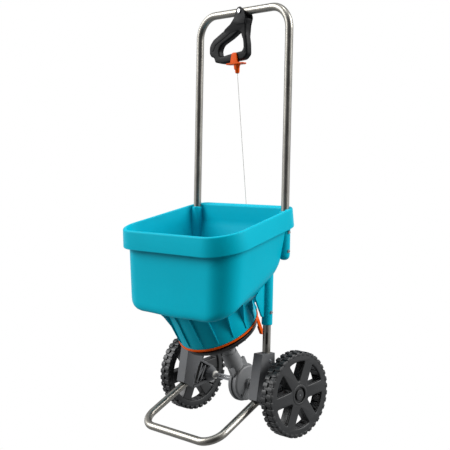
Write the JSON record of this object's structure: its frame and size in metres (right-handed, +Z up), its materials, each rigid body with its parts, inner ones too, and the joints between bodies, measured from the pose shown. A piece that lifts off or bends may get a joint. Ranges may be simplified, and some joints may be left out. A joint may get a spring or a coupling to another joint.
{
  "type": "broadcast spreader",
  "caption": "Walk-behind lawn spreader: tilted tub with funnel neck, axle-driven spinner disc, two bent tubes, and a hanging squeeze trigger whose cord opens a shutter.",
  "frame": {"origin": "middle of the footprint on the ground", "axes": "+X along the axle to the drive wheel, +Y towards the person who pushes, +Z up"},
  "size_m": [0.4128, 0.3879, 1.0805],
  "materials": {
    "teal_plastic": "moulded polypropylene, light grain",
    "orange_plastic": "moulded plastic",
    "stainless_tube": "brushed stainless tube",
    "black_plastic": "moulded plastic, fine grain",
    "grip_plastic": "moulded plastic, fine grain",
    "grey_plastic": "glass-filled plastic",
    "dark_grey_plastic": "glass-filled plastic",
    "bush_plastic": "acetal",
    "steel": "zinc plated",
    "bright_steel": "polished",
    "brass": "drawn",
    "cord_fibre": "braided polyester",
    "rubber": "moulded"
  },
  "bodies": {
    "frame": {"handle_tube": "stainless_tube", "stand_tube": "stainless_tube", "hopper": "teal_plastic", "outlet_ring": "orange_plastic", "lever_pin": "steel", "lever_spring": "steel", "trigger_bolt": "steel", "trigger_nut": "steel", "left_bracket": "dark_grey_plastic", "right_bracket": "dark_grey_plastic", "left_axle_bush": "bush_plastic", "right_axle_bush": "bush_plastic", "spinner_bridge": "dark_grey_plastic", "gearbox_left_shell": "grey_plastic", "gearbox_right_shell": "grey_plastic", "gearbox_screws": "steel", "lower_shaft_bush": "brass", "upper_shaft_bush": "brass", "floor_seal": "rubber", "wheel_washers": "steel", "sleeve_screws": "steel", "bracket_screws": "steel", "flange_screws": "steel"},
    "trigger": {"trigger_grip": "grip_plastic", "cord_clip": "orange_plastic"},
    "cord": {"pull_cord": "cord_fibre", "cord_ball": "brass", "cord_eye": "brass"},
    "lever": {"shutter_lever": "orange_plastic", "cord_pin": "steel"},
    "shutter": {"shutter_plate": "orange_plastic"},
    "drive": {"drive_wheel": "black_plastic", "axle": "bright_steel", "crown_gear": "bush_plastic", "drive_pin": "steel", "axle_caps": "black_plastic"},
    "free": {"free_wheel": "black_plastic", "wheel_bush": "bush_plastic"},
    "spinner": {"spinner_disc": "black_plastic", "spinner_shaft": "bright_steel", "pinion": "bush_plastic", "agitator": "grey_plastic", "agitator_nut": "steel", "spinner_nut": "steel"}
  },
  "joints": [
    {"name": "trigger_squeeze", "type": "hinge", "parent": "frame", "child": "trigger", "pos_m": [0, 0.0646, 1.0685], "axis": [0, 1, 0], "range_deg": [0, 20]},
    {"name": "cord_swing", "type": "hinge", "parent": "trigger", "child": "cord", "pos_m": [-0.017, 0.0646, 0.916], "axis": [0, 1, 0], "range_deg": [-25.2, 0.5]},
    {"name": "shutter_lever_turn", "type": "hinge", "parent": "frame", "child": "lever", "pos_m": [0, 0.11105, 0.29736], "axis": [1, 0, 0], "range_deg": [-0.5, 43], "deforming": ["lever_spring"]},
    {"name": "shutter_slide", "type": "slide", "parent": "frame", "child": "shutter", "axis": [0, -0.866, -0.5], "range_m": [-0.0003, 0.022]},
    {"name": "drive_spin", "type": "hinge", "parent": "frame", "child": "drive", "pos_m": [0, 0.0866, 0.1075], "axis": [1, 0, 0], "continuous": true},
    {"name": "free_wheel_spin", "type": "hinge", "parent": "frame", "child": "free", "pos_m": [-0.18, 0.0866, 0.1075], "axis": [1, 0, 0], "continuous": true},
    {"name": "spinner_spin", "type": "hinge", "parent": "frame", "child": "spinner", "pos_m": [0, 0.0866, 0.1075], "axis": [0, -0.5, 0.866], "continuous": true}
  ],
  "couplings": [
    {"joint": "cord_swing", "follows": "trigger_squeeze", "ratio": -1.2345},
    {"joint": "shutter_lever_turn", "follows": "trigger_squeeze", "ratio": 2.11},
    {"joint": "shutter_slide", "follows": "trigger_squeeze", "m_per_rad": 0.061593},
    {"joint": "spinner_spin", "follows": "drive_spin", "ratio": -4.4}
  ]
}
